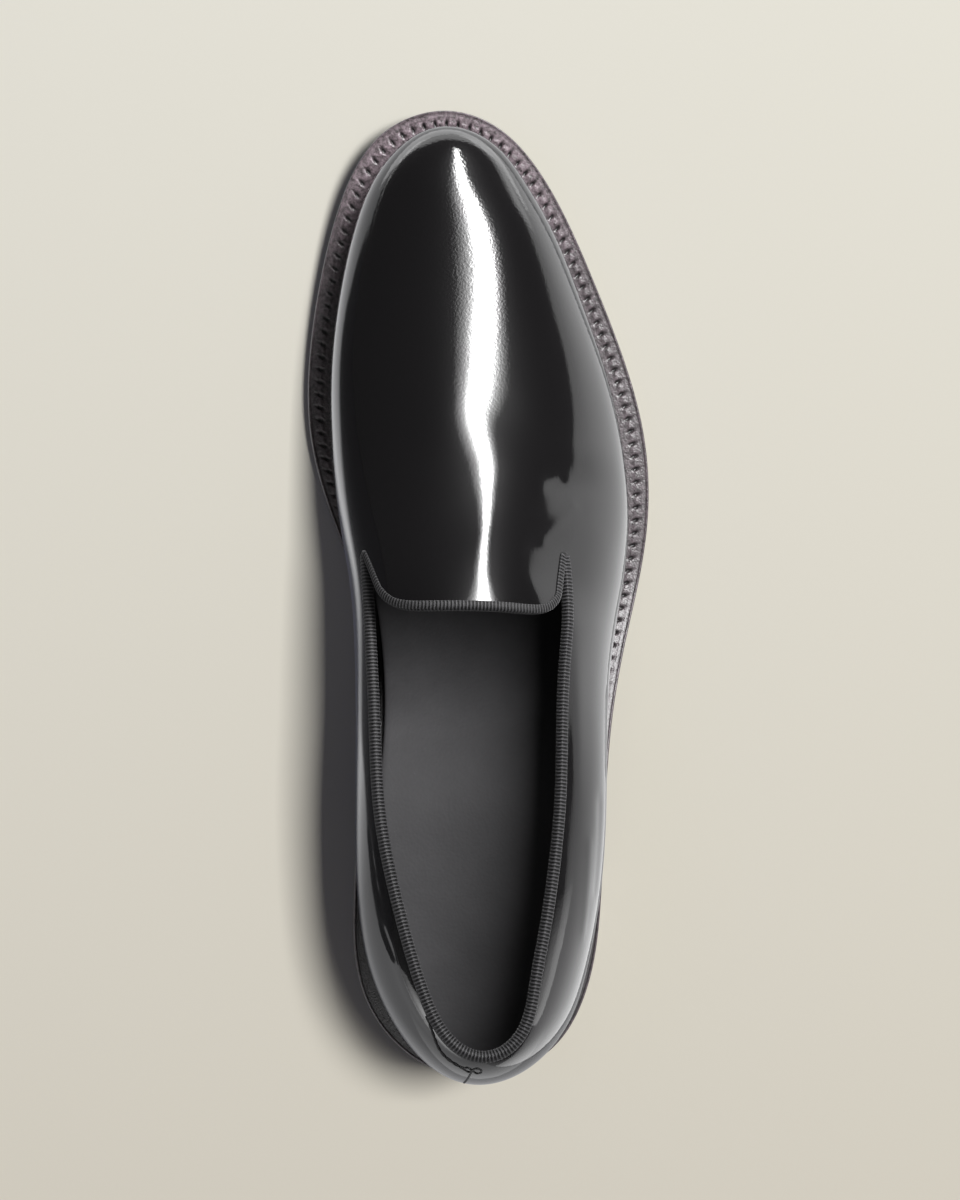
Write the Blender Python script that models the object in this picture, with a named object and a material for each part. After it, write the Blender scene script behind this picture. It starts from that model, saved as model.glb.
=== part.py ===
# Patent leather loafer, right shoe: stacked heel, leather outsole, stitched welt, insole, one-piece
# upper with two side notches and a tab, and a ribbon binding around the topline.
# x runs across the shoe (medial negative, lateral positive), s along it from heel back to toe tip.
import math

import bpy
import numpy as np

MM = 0.001

# Driving sizes, millimetres
LENGTH = 300.0            # outsole, heel back to toe tip
HEEL_HEIGHT = 21.0        # floor to the underside of the outsole at the heel
HEEL_BREAST = 70.0        # front face of the heel
TOP_PIECE = 6.0           # height of the groove above the heel's top piece
WAIST_START = 72.0        # the outsole starts to fall towards the ball
BALL_REAR = 170.0         # rear and front of the flat spot under the ball
BALL_FRONT = 212.0
TOE_SPRING = 10.0         # lift of the outsole at the toe tip
OUTSOLE_THICK = 5.0
WELT_THICK = 3.0
INSOLE_THICK = 5.2
WALL = 2.2                # leather and lining of the upper
GAP = 0.3                 # clearance between pieces that touch

# Plan outlines at shares of each outline's own length. sole: edge of outsole and welt.
# widest: the upper where it bulges most. feather: the upper where it meets the welt.
PLAN_COLUMNS = ("share", "sole_medial", "sole_lateral", "widest_medial", "widest_lateral",
                "feather_medial", "feather_lateral")
PLAN_ROWS = (
    (0.027, -23.4, 21.4, -19.4, 17.2, -19.8, 17.7),
    (0.067, -33.5, 30.2, -28.4, 26.2, -27.3, 25.2),
    (0.120, -38.6, 35.2, -35.0, 31.4, -33.4, 29.8),
    (0.180, -39.2, 37.3, -38.1, 34.8, -36.0, 33.0),
    (0.267, -37.6, 38.6, -39.1, 37.2, -34.9, 35.2),
    (0.360, -34.4, 41.0, -38.8, 38.2, -32.0, 36.6),
    (0.440, -34.6, 45.7, -38.9, 40.4, -32.2, 38.6),
    (0.520, -39.4, 51.4, -40.4, 44.8, -35.6, 43.0),
    (0.593, -47.2, 54.0, -44.0, 46.6, -41.0, 45.0),
    (0.667, -52.5, 52.4, -46.2, 44.6, -44.0, 43.0),
    (0.740, -52.8, 46.6, -46.4, 39.8, -44.9, 38.3),
    (0.820, -49.6, 37.3, -43.8, 31.6, -42.3, 30.1),
    (0.893, -44.3, 27.3, -39.0, 22.6, -37.5, 21.2),
    (0.947, -37.4, 17.3, -32.4, 13.4, -31.0, 12.2),
    (0.977, -29.8, 8.6, -25.2, 6.2, -24.2, 5.4),
)
# Heel and toe ends of each outline
END_COLUMNS = ("outline", "heel_x", "heel_s", "toe_x", "toe_s")
END_ROWS = (
    ("sole", -1.5, 0.0, -10.5, LENGTH),
    ("widest", -1.8, 0.8, -10.2, 294.0),
    ("feather", -1.8, 3.0, -10.2, 292.4),
)

# Cross sections of the upper. rise: height of the widest line above the welt. ridge: top of the
# section above the floor. skew: shift of the ridge towards the lateral side, in half widths.
# fullness: roundness of the section. lean: how much fuller the medial side is.
SECTION_COLUMNS = ("station", "rise", "ridge", "skew", "fullness", "lean")
SECTION_ROWS = (
    (0.0, 20.0, 89.0, -0.03, 2.00, 0.05),
    (25.0, 20.0, 88.5, -0.05, 2.00, 0.10),
    (56.0, 19.5, 85.8, -0.11, 2.08, 0.15),
    (85.0, 18.0, 84.5, -0.21, 2.15, 0.30),
    (115.0, 16.0, 83.0, -0.26, 2.20, 0.45),
    (148.0, 13.5, 79.5, -0.31, 2.20, 0.55),
    (172.0, 12.0, 67.0, -0.28, 2.15, 0.52),
    (196.0, 11.0, 56.5, -0.22, 2.12, 0.58),
    (222.0, 10.5, 49.5, -0.17, 2.20, 0.58),
    (250.0, 10.0, 45.0, -0.12, 2.26, 0.50),
    (275.0, 9.5, 42.5, -0.08, 2.32, 0.38),
    (300.0, 9.0, 41.5, -0.05, 2.38, 0.30),
)
HEEL_END = 38.0           # stations where the ridge starts to fall away to the heel and toe ends
TOE_END = 248.0
HEEL_END_POWER = 4.0
TOE_END_POWER = 3.0

# Height of the topline above the floor, by station of the wall below it
TOPLINE_COLUMNS = ("station", "height")
TOPLINE_ROWS = (
    (0.0, 84.0),
    (25.0, 82.0),
    (52.0, 78.4),
    (82.0, 74.0),
    (112.0, 68.6),
    (140.0, 63.0),
    (162.0, 58.0),
)
NOTCH_STATION = 161.3     # tips of the two side notches
COLLAR_AIM_X = -5.0       # the quarters' wall lines run towards this line inside the collar
COLLAR_AIM_AHEAD = 40.0   # how far ahead of the heel back the heel's wall lines aim
COLLAR_AIM_REACH = 90.0   # station where wall lines run straight across
TAB_MIDDLE = -5.2         # tab behind the notches
TAB_HALF_WIDTH = 27.5
TAB_BACK = 145.8          # throat line at the middle of the tab
TAB_HOLLOW = 2.2          # the throat line bows forward in its middle
TAB_SLANT = 1.0           # the throat line lies further back at its lateral end
TAB_CORNER = 6.0          # rounding of the tab's corners
TAB_CORNER_POWER = 8.0
TUCK_ANGLE = 75.0         # degrees of the quarter ellipse that tucks the wall in to the welt

BINDING_WIDTH = 4.5
BINDING_THICK = 0.9

# Edges of the sole's pieces. inward: distance in from the outline. above: height above the lower face.
OUTSOLE_EDGE = ((1.4, 0.0), (0.3, 1.0), (0.0, 2.2), (0.0, OUTSOLE_THICK - 0.5), (0.4, OUTSOLE_THICK))
WELT_EDGE = ((0.5, 0.0), (0.1, 0.6), (0.1, WELT_THICK - GAP - 0.8), (0.9, WELT_THICK - GAP))
INSOLE_EDGE = ((0.0, 0.0), (0.0, INSOLE_THICK - 0.8), (0.8, INSOLE_THICK))
HEEL_EDGE = ((2.6, 0.0), (2.2, 0.5), (1.9, TOP_PIECE - 0.4), (2.3, TOP_PIECE), (1.8, TOP_PIECE + 0.4),
             (0.6, HEEL_HEIGHT - 4.0), (0.4, HEEL_HEIGHT - GAP))

# Mesh steps
LOOP_POINTS = 104
HEEL_POINTS = 22
VAMP_STEPS = 46
QUARTER_STEPS = 23        # each side
TUCK_STEPS = 3
DOME_STEPS = 13
TAB_STEPS = 4
LINE_POINTS = 500         # points of a wall line before it is divided into rows
HALF_POINTS = 1500        # points of one side of an outline, for reading its width at a station
TANGENT_STEP = 1e-4       # share of an outline, for its direction
DOME_SPACING = 1.35       # above 1 the rows are closer near the widest line
SOLE_SHARP = 35.0         # degrees between faces that shade as an edge
UPPER_SHARP = 60.0

MATERIALS = {             # sRGB colour, roughness
    "patent_leather": ("#171617", 0.08),
    "welt_leather": ("#3a3132", 0.45),
    "sole_leather": ("#2a2423", 0.50),
    "heel_leather": ("#241f1e", 0.45),
    "insole_leather": ("#3a393b", 0.55),
    "grosgrain": ("#1d1c1d", 0.70),
}


def column(columns, rows, name):
    place = columns.index(name)
    return np.array([row[place] for row in rows])


def cubic(knots, values, at, closed=False):
    # cubic spline through the values: free ends, or joined end to end where closed
    knots = np.asarray(knots, float)
    values = np.asarray(values, float)
    count = len(knots)
    step = np.diff(knots)
    slope = np.diff(values) / step
    matrix = np.zeros((count, count))
    right = np.zeros(count)
    for i in range(1, count - 1):
        matrix[i, i - 1:i + 2] = step[i - 1], 2 * (step[i - 1] + step[i]), step[i]
        right[i] = 6 * (slope[i] - slope[i - 1])
    matrix[0, 0] = 1
    matrix[-1, -1] = 1
    if closed:
        matrix[0, -1] = -1
        matrix[-1, -2:] = step[-1], 2 * (step[-1] + step[0])
        matrix[-1, 1] = step[0]
        right[-1] = 6 * (slope[0] - slope[-1])
    bend = np.linalg.solve(matrix, right)
    i = np.clip(np.searchsorted(knots, at, "right") - 1, 0, count - 2)
    before = np.asarray(at) - knots[i]
    after = knots[i + 1] - np.asarray(at)
    h = step[i]
    bent = (bend[i] * after ** 3 + bend[i + 1] * before ** 3) / (6 * h)
    from_left = (values[i] / h - bend[i] * h / 6) * after
    from_right = (values[i + 1] / h - bend[i + 1] * h / 6) * before
    return bent + from_left + from_right


def outline_points(name):
    # heel end, lateral rows, toe end, medial rows back to the heel end
    place = list(column(END_COLUMNS, END_ROWS, "outline")).index(name)
    heel_x, heel_s, toe_x, toe_s = [column(END_COLUMNS, END_ROWS, end)[place] for end in END_COLUMNS[1:]]
    stations = heel_s + (toe_s - heel_s) * column(PLAN_COLUMNS, PLAN_ROWS, "share")
    lateral = column(PLAN_COLUMNS, PLAN_ROWS, name + "_lateral")
    medial = column(PLAN_COLUMNS, PLAN_ROWS, name + "_medial")
    x = np.concatenate(([heel_x], lateral, [toe_x], medial[::-1], [heel_x]))
    s = np.concatenate(([heel_s], stations, [toe_s], stations[::-1], [heel_s]))
    return x, s


def outline_knots():
    # one measure around all outlines: 0 at the heel, 0.5 at the toe, the same on both sides
    x, s = outline_points("sole")
    steps = np.hypot(np.diff(x), np.diff(s))
    half = len(steps) // 2
    even = (steps[:half] + steps[half:][::-1]) / 2
    run = np.concatenate(([0], np.cumsum(np.concatenate((even, even[::-1])))))
    return run / run[-1]


KNOTS = outline_knots()


def outline(name, around, inward=0.0):
    # points of an outline, moved inwards square to its edge
    x, s = outline_points(name)

    def at(place):
        return np.stack((cubic(KNOTS, x, place % 1, True), cubic(KNOTS, s, place % 1, True)), -1)

    along = at(around + TANGENT_STEP) - at(around - TANGENT_STEP)
    along /= np.linalg.norm(along, axis=-1, keepdims=True)
    outward = np.stack((along[:, 1], -along[:, 0]), -1)
    return at(around) - outward * inward


def underside(s):
    # underside of the outsole: level at the heel, an arch, a flat spot at the ball, toe spring
    fall = np.clip((BALL_REAR - s) / (BALL_REAR - WAIST_START), 0, 1)
    arch = fall ** 3 * (10 - 15 * fall + 6 * fall ** 2)
    spring = np.clip((s - BALL_FRONT) / (LENGTH - BALL_FRONT), 0, None)
    return HEEL_HEIGHT * arch + TOE_SPRING * spring ** 2


def welt_top(s):
    return underside(s) + OUTSOLE_THICK + WELT_THICK


def section(s, name):
    stations = column(SECTION_COLUMNS, SECTION_ROWS, "station")
    return cubic(stations, column(SECTION_COLUMNS, SECTION_ROWS, name), s)


DENSE = np.linspace(0, 0.5, HALF_POINTS)     # one side of an outline, heel to toe
WIDEST_LATERAL = outline("widest", DENSE)
WIDEST_MEDIAL = outline("widest", 1 - DENSE)


def widest_height(s):
    return welt_top(s) + section(s, "rise")


def dome(x, s):
    # height of the last above its widest line: a skewed superellipse across, closed at heel and toe
    lateral = np.interp(s, WIDEST_LATERAL[:, 1], WIDEST_LATERAL[:, 0])
    medial = np.interp(s, WIDEST_MEDIAL[:, 1], WIDEST_MEDIAL[:, 0])
    half = np.maximum((lateral - medial) / 2, 1e-6)
    across = np.clip((x - (lateral + medial) / 2) / half, -1, 1)
    skew = section(s, "skew")
    even = (1 - np.sqrt(1 - 4 * skew * (across - skew))) / (2 * skew)
    fullness = section(s, "fullness")
    heel_s = WIDEST_LATERAL[0, 1]
    toe_s = WIDEST_LATERAL[-1, 1]
    to_heel = np.clip((HEEL_END - s) / (HEEL_END - heel_s), 0, 1)
    to_toe = np.clip((s - TOE_END) / (toe_s - TOE_END), 0, 1)
    ends = (1 - to_heel ** HEEL_END_POWER) * (1 - to_toe ** TOE_END_POWER)
    tall = (section(s, "ridge") - widest_height(s)) * ends ** (1 / fullness)
    round_over = np.clip(1 - even ** 2, 0, 1) ** (1 / (fullness - section(s, "lean") * even))
    return widest_height(s) + tall * round_over


def with_height(plan, height):
    return np.column_stack((plan, np.broadcast_to(height, len(plan))))


def rows_along(line, shares, last):
    # rows of points along each dense line, by arc length, the last interval of a fixed size
    steps = np.linalg.norm(np.diff(line, axis=0), axis=2)
    run = np.vstack((np.zeros(steps.shape[1]), np.cumsum(steps, 0)))
    rows = np.empty((len(shares) + 1, line.shape[1], 3))
    for c in range(line.shape[1]):
        whole = run[-1, c]
        places = np.append(shares * (whole - last), whole)
        for axis in range(3):
            rows[:, c, axis] = np.interp(places, run[:, c], line[:, c, axis])
    return rows


def upper_surface():
    # outer face of the upper: columns run round the shoe from the lateral notch over the toe and
    # back around the heel, rows from the welt up to the topline, then the tab behind the notches
    lateral_notch = np.interp(NOTCH_STATION, WIDEST_LATERAL[:, 1], DENSE)
    medial_notch = 1 - np.interp(NOTCH_STATION, WIDEST_MEDIAL[:, 1], DENSE)
    vamp = np.linspace(lateral_notch, medial_notch, VAMP_STEPS + 1)
    quarter = np.linspace(medial_notch, 1 + lateral_notch, 2 * QUARTER_STEPS + 1)
    around = np.concatenate((vamp, quarter[1:-1]))
    widest = outline("widest", around % 1)
    base = widest_height(widest[:, 1])

    # each wall line starts at the widest line and runs inwards in plan
    start_s = widest[:, 1]
    ahead = np.clip(1 - start_s / COLLAR_AIM_REACH, 0, None)
    aim = np.stack((np.full(len(around), COLLAR_AIM_X), start_s + COLLAR_AIM_AHEAD * ahead ** 2), -1)
    share = np.linspace(0, 1, LINE_POINTS) ** 2
    plan = widest + (aim - widest) * share[:, None, None]
    height = dome(plan[..., 0], plan[..., 1])
    topline = cubic(column(TOPLINE_COLUMNS, TOPLINE_ROWS, "station"),
                    column(TOPLINE_COLUMNS, TOPLINE_ROWS, "height"), start_s)
    meets = np.array([np.interp(topline[c], height[:, c], share) for c in range(len(around))])
    inner = widest + (aim - widest) * meets[:, None]

    # the vamp's lines end on a line across from notch to notch, evenly apart over the ridge
    from_notch, to_notch = inner[0], inner[VAMP_STEPS]
    cross = from_notch + (to_notch - from_notch) * np.linspace(0, 1, LINE_POINTS)[:, None]
    cross_line = np.column_stack((cross, dome(cross[:, 0], cross[:, 1])))[:, None, :]
    edge = BINDING_WIDTH / np.linalg.norm(np.diff(cross_line[:, 0], axis=0), axis=1).sum()
    places = np.concatenate(([0], np.linspace(edge, 1 - edge, VAMP_STEPS - 1)))
    inner[:VAMP_STEPS + 1] = rows_along(cross_line, places, 0)[:, 0, :2]

    plan = widest + (inner - widest) * share[:, None, None]
    lines = np.dstack((plan, dome(plan[..., 0], plan[..., 1])))
    lines[0, :, 2] = base
    spacing = np.linspace(0, 1, DOME_STEPS) ** DOME_SPACING
    dome_rows = rows_along(lines, spacing, BINDING_WIDTH)

    # below the widest line a part of an ellipse tucks the wall in to the welt
    feather = outline("feather", around % 1)
    foot = welt_top(feather[:, 1]) + GAP
    turn = np.radians(np.linspace(TUCK_ANGLE, 0, TUCK_STEPS + 1))[:-1, None]
    whole = math.radians(TUCK_ANGLE)
    inward = (1 - np.cos(turn)) / (1 - math.cos(whole))
    down = np.sin(turn) / math.sin(whole)
    tuck_plan = widest + (feather - widest) * inward[..., None]
    tuck_rows = np.dstack((tuck_plan, base + (foot - base) * down))

    # the tab runs back from the cross line to the throat line
    front = inner[:VAMP_STEPS + 1]
    spread = np.interp(-front[:, 0], (-from_notch[0], -TAB_MIDDLE, -to_notch[0]), (1, 0, -1))
    throat_x = TAB_MIDDLE + TAB_HALF_WIDTH * spread
    corner = TAB_CORNER * np.abs(spread) ** TAB_CORNER_POWER
    throat_s = TAB_BACK - TAB_HOLLOW * spread ** 2 - TAB_SLANT * spread + corner
    throat = np.stack((throat_x, throat_s), -1)
    back = np.linspace(0, 1, LINE_POINTS)[:, None, None]
    tab_plan = front + (throat - front) * back
    tab_lines = np.dstack((tab_plan, dome(tab_plan[..., 0], tab_plan[..., 1])))
    tab_rows = rows_along(tab_lines, np.linspace(0, 1, TAB_STEPS), BINDING_WIDTH)[1:]
    return np.concatenate((tuck_rows, dome_rows)), tab_rows


def upper_mesh():
    # one list of vertices, the faces of the whole upper, and the faces that the binding covers
    ring, tab = upper_surface()
    rows, columns = ring.shape[:2]
    vertices = np.concatenate((ring.reshape(-1, 3), tab.reshape(-1, 3)))

    def ring_at(row, c):
        return row * columns + c % columns

    def tab_at(row, c):
        if row == 0:
            return ring_at(rows - 1, c)
        return rows * columns + (row - 1) * (VAMP_STEPS + 1) + c

    faces = []
    covered = []
    for row in range(rows - 1):
        for c in range(columns):
            face = (ring_at(row, c), ring_at(row, c + 1), ring_at(row + 1, c + 1), ring_at(row + 1, c))
            faces.append(face)
            on_vamp = 0 < c < VAMP_STEPS - 1
            if row == rows - 2 and not on_vamp:
                covered.append(face)
    for row in range(TAB_STEPS):
        for c in range(VAMP_STEPS):
            face = (tab_at(row, c), tab_at(row, c + 1), tab_at(row + 1, c + 1), tab_at(row + 1, c))
            faces.append(face)
            if row == TAB_STEPS - 1 or c in (0, VAMP_STEPS - 1):
                covered.append(face)
    return vertices, faces, covered


def stack(loops):
    # closed solid from plan loops, lowest first, capped by strips from side to side
    count = len(loops[0])
    vertices = np.concatenate(loops)
    faces = []
    for level in range(len(loops) - 1):
        for i in range(count):
            low = level * count
            j = (i + 1) % count
            faces.append((low + i, low + j, low + count + j, low + count + i))
    top = (len(loops) - 1) * count
    for i in range(count // 2):
        strip = [i, i + 1, count - i - 1, (count - i) % count]
        strip = list(dict.fromkeys(strip))
        faces.append(tuple(top + k for k in strip))
        faces.append(tuple(reversed(strip)))
    return vertices, faces


def tube(loops):
    # closed ring from plan loops that follow one another around its cross section
    count = len(loops[0])
    levels = len(loops)
    faces = []
    for level in range(levels):
        low = level * count
        high = (level + 1) % levels * count
        for i in range(count):
            j = (i + 1) % count
            faces.append((low + i, low + j, high + j, high + i))
    return np.concatenate(loops), faces


def linear(hex_colour):
    parts = [int(hex_colour[i:i + 2], 16) / 255 for i in (1, 3, 5)]
    return [p / 12.92 if p <= 0.04045 else ((p + 0.055) / 1.055) ** 2.4 for p in parts] + [1.0]


def material(name):
    colour, roughness = MATERIALS[name]
    made = bpy.data.materials.new(name)
    made.use_nodes = True
    shader = made.node_tree.nodes["Principled BSDF"]
    shader.inputs["Base Color"].default_value = linear(colour)
    shader.inputs["Roughness"].default_value = roughness
    shader.inputs["Metallic"].default_value = 0.0
    return made


def add_piece(name, vertices, faces, finish, parent, sharp=SOLE_SHARP):
    mesh = bpy.data.meshes.new(name)
    mesh.from_pydata((np.asarray(vertices) * MM).tolist(), [], faces)
    mesh.shade_smooth()
    mesh.set_sharp_from_angle(angle=math.radians(sharp))
    mesh.materials.append(material(finish))
    piece = bpy.data.objects.new(name, mesh)
    bpy.context.scene.collection.objects.link(piece)
    piece.parent = parent
    return piece


def thicken(piece, thickness, offset):
    wall = piece.modifiers.new("wall", "SOLIDIFY")
    wall.thickness = thickness * MM
    wall.offset = offset
    wall.use_even_offset = False


def sole_loop(name, inward, above):
    # full loop of an outline, moved inwards, at a height above the underside of the outsole
    loop = outline(name, np.arange(LOOP_POINTS) / LOOP_POINTS, inward)
    return with_height(loop, underside(loop[:, 1]) + above)


def make_outsole(parent):
    loops = [sole_loop("sole", inward, above) for inward, above in OUTSOLE_EDGE]
    return add_piece("outsole", *stack(loops), "sole_leather", parent)


def make_welt(parent):
    # outer edge, then straight down inside the wall of the upper
    low = OUTSOLE_THICK + GAP
    loops = [sole_loop("sole", inward, low + above) for inward, above in WELT_EDGE]
    for above in (OUTSOLE_THICK + WELT_THICK, low):
        loops.append(sole_loop("feather", WALL + GAP, above))
    return add_piece("welt", *tube(loops), "welt_leather", parent)


def make_insole(parent):
    low = OUTSOLE_THICK + GAP
    edge = WALL + 2 * GAP
    loops = [sole_loop("feather", edge + inward, low + above) for inward, above in INSOLE_EDGE]
    return add_piece("insole", *stack(loops), "insole_leather", parent)


def heel_loop(inward, height):
    # the heel end of the sole outline, closed straight across at the breast
    sides = []
    for side in (DENSE, 1 - DENSE):
        breast = np.interp(HEEL_BREAST, outline("sole", side)[:, 1], side)
        sides.append(outline("sole", np.linspace(side[0], breast, HEEL_POINTS), inward))
    lateral, medial = sides
    return with_height(np.concatenate((lateral, medial[:0:-1])), height)


def make_heel(parent):
    loops = [heel_loop(inward, above) for inward, above in HEEL_EDGE]
    return add_piece("heel", *stack(loops), "heel_leather", parent)


def make_upper(parent):
    vertices, faces, covered = upper_mesh()
    upper = add_piece("upper", vertices, faces, "patent_leather", parent, UPPER_SHARP)
    thicken(upper, WALL, -1.0)
    normals = np.array([vertex.normal for vertex in upper.data.vertices])
    used = sorted({v for face in covered for v in face})
    renumbered = {v: i for i, v in enumerate(used)}
    lifted = (vertices + normals * GAP)[used]
    strip = [tuple(renumbered[v] for v in face) for face in covered]
    binding = add_piece("topline_binding", lifted, strip, "grosgrain", parent, UPPER_SHARP)
    thicken(binding, BINDING_THICK, 1.0)


def clear_scene():
    for thing in list(bpy.data.objects):
        bpy.data.objects.remove(thing, do_unlink=True)


def main():
    clear_scene()
    edge = sole_loop("sole", 0.0, 0.0)
    middle = (edge.max(0) + edge.min(0)) / 2
    shoe = bpy.data.objects.new("shoe", None)
    bpy.context.scene.collection.objects.link(shoe)
    shoe.location = (-middle[0] * MM, -middle[1] * MM, 0)
    make_heel(shoe)
    make_outsole(shoe)
    make_welt(shoe)
    make_insole(shoe)
    make_upper(shoe)


main()
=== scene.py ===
import math
from functools import partial

import bmesh
import bpy
import numpy as np
from mathutils import Matrix, Vector
from numpy.linalg import norm


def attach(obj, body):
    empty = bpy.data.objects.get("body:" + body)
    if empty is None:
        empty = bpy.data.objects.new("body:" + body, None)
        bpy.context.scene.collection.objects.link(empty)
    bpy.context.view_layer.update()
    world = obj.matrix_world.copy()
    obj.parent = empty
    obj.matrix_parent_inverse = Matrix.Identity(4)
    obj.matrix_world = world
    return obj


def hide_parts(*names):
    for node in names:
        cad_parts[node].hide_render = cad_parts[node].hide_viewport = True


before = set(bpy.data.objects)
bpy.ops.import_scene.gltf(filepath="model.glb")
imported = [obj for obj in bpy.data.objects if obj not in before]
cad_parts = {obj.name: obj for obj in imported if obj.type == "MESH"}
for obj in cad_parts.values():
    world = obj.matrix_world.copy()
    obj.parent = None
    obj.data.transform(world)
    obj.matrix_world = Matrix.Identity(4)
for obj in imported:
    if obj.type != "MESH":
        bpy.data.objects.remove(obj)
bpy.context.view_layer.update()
scene = bpy.context.scene
mm = 0.001
print("frame loaded:", ", ".join(sorted(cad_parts)))

# The last, in millimetres: x across with the lateral side positive, s along from heel back to toe tip
last = {
    "length": 300.0,
    "heelHeight": 21.0,
    "heelBreast": 70.0,
    "waistStart": 72.0,
    "ballRear": 170.0,
    "ballFront": 212.0,
    "toeSpring": 10.0,
    "outsoleThick": 5.0,
    "weltThick": 3.0,
    "wall": 2.2,
    "gap": 0.3,
    "heelEnd": 38.0,  # the ridge falls away to the heel and toe from these stations
    "toeEnd": 248.0,
    "heelPower": 4.0,
    "toePower": 3.0,
    "notch": 161.3,  # tips of the side notches
    "aimX": -5.0,  # wall lines of the quarters run towards this line inside the collar
    "aimAhead": 40.0,
    "aimReach": 90.0,
    "tabMiddle": -5.2,
    "tabHalfWidth": 27.5,
    "tabBack": 145.8,  # throat line at the middle of the tab
    "tabHollow": 2.2,
    "tabSlant": 1.0,
    "tabCorner": 6.0,
    "tabCornerPower": 8.0,
    "tuckAngle": 75.0,  # degrees of the ellipse that tucks the wall in to the welt
}

# share of the length, then medial and lateral x of the sole, the widest line and the feather line
planTable = np.array([
    (0.027, -23.4, 21.4, -19.4, 17.2, -19.8, 17.7),
    (0.067, -33.5, 30.2, -28.4, 26.2, -27.3, 25.2),
    (0.120, -38.6, 35.2, -35.0, 31.4, -33.4, 29.8),
    (0.180, -39.2, 37.3, -38.1, 34.8, -36.0, 33.0),
    (0.267, -37.6, 38.6, -39.1, 37.2, -34.9, 35.2),
    (0.360, -34.4, 41.0, -38.8, 38.2, -32.0, 36.6),
    (0.440, -34.6, 45.7, -38.9, 40.4, -32.2, 38.6),
    (0.520, -39.4, 51.4, -40.4, 44.8, -35.6, 43.0),
    (0.593, -47.2, 54.0, -44.0, 46.6, -41.0, 45.0),
    (0.667, -52.5, 52.4, -46.2, 44.6, -44.0, 43.0),
    (0.740, -52.8, 46.6, -46.4, 39.8, -44.9, 38.3),
    (0.820, -49.6, 37.3, -43.8, 31.6, -42.3, 30.1),
    (0.893, -44.3, 27.3, -39.0, 22.6, -37.5, 21.2),
    (0.947, -37.4, 17.3, -32.4, 13.4, -31.0, 12.2),
    (0.977, -29.8, 8.6, -25.2, 6.2, -24.2, 5.4),
])
planColumns = {"sole": (1, 2), "widest": (3, 4), "feather": (5, 6)}
lineEnds = {  # heel x, heel s, toe x, toe s
    "sole": (-1.5, 0.0, -10.5, 300.0),
    "widest": (-1.8, 0.8, -10.2, 294.0),
    "feather": (-1.8, 3.0, -10.2, 292.4),
}
# station, rise of the widest line above the welt, height of the ridge, its shift, fullness, medial lean
sectionTable = np.array([
    (0.0, 20.0, 89.0, -0.03, 2.00, 0.05),
    (25.0, 20.0, 88.5, -0.05, 2.00, 0.10),
    (56.0, 19.5, 85.8, -0.11, 2.08, 0.15),
    (85.0, 18.0, 84.5, -0.21, 2.15, 0.30),
    (115.0, 16.0, 83.0, -0.26, 2.20, 0.45),
    (148.0, 13.5, 79.5, -0.31, 2.20, 0.55),
    (172.0, 12.0, 67.0, -0.28, 2.15, 0.52),
    (196.0, 11.0, 56.5, -0.22, 2.12, 0.58),
    (222.0, 10.5, 49.5, -0.17, 2.20, 0.58),
    (250.0, 10.0, 45.0, -0.12, 2.26, 0.50),
    (275.0, 9.5, 42.5, -0.08, 2.32, 0.38),
    (300.0, 9.0, 41.5, -0.05, 2.38, 0.30),
])
sectionColumns = {"rise": 1, "ridge": 2, "skew": 3, "fullness": 4, "lean": 5}
toplineTable = np.array([  # station, height of the topline
    (0.0, 84.0), (25.0, 82.0), (52.0, 78.4), (82.0, 74.0), (112.0, 68.6), (140.0, 63.0), (162.0, 58.0),
])


def splineThrough(knots, values, at, closed=False):
    # cubic spline: on each interval the two end values plus two cubic bends that keep slope and bend even
    knots, values, at = np.asarray(knots, float), np.asarray(values, float), np.asarray(at, float)
    count, step = len(knots), np.diff(knots)
    slope = np.diff(values) / step
    inner = np.arange(1, count - 1)
    matrix, right = np.zeros((count, count)), np.zeros(count)
    matrix[inner, inner - 1], matrix[inner, inner + 1] = step[:-1], step[1:]
    matrix[inner, inner] = 2 * (step[:-1] + step[1:])
    right[inner] = 6 * np.diff(slope)
    matrix[0, 0] = matrix[-1, -1] = 1
    if closed:
        matrix[0, -1], matrix[-1, 1] = -1, step[0]
        matrix[-1, -2:] = step[-1], 2 * (step[-1] + step[0])
        right[-1] = 6 * (slope[0] - slope[-1])
    bend = np.linalg.solve(matrix, right)
    i = np.clip(np.searchsorted(knots, at, "right") - 1, 0, count - 2)
    before, after, h = at - knots[i], knots[i + 1] - at, step[i]
    bent = (bend[i] * after ** 3 + bend[i + 1] * before ** 3) / (6 * h)
    fromLeft = (values[i] / h - bend[i] * h / 6) * after
    fromRight = (values[i + 1] / h - bend[i + 1] * h / 6) * before
    return bent + fromLeft + fromRight


def unit(vectors):
    # each vector over its length
    return vectors / norm(vectors, axis=-1, keepdims=True)


def linePoints(name):
    # heel end, lateral points, toe end, medial points back to the heel end
    heelX, heelS, toeX, toeS = lineEnds[name]
    medial, lateral = (planTable[:, k] for k in planColumns[name])
    stations = heelS + (toeS - heelS) * planTable[:, 0]
    x = np.concatenate(([heelX], lateral, [toeX], medial[::-1], [heelX]))
    s = np.concatenate(([heelS], stations, [toeS], stations[::-1], [heelS]))
    return x, s


def lineKnots():
    # one measure for all outlines: 0 at the heel, 0.5 at the toe, alike on both sides
    x, s = linePoints("sole")
    steps = np.hypot(np.diff(x), np.diff(s))
    half = len(steps) // 2
    even = (steps[:half] + steps[half:][::-1]) / 2
    run = np.concatenate(([0], np.cumsum(np.concatenate((even, even[::-1])))))
    return run / run[-1]


knots = lineKnots()


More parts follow.
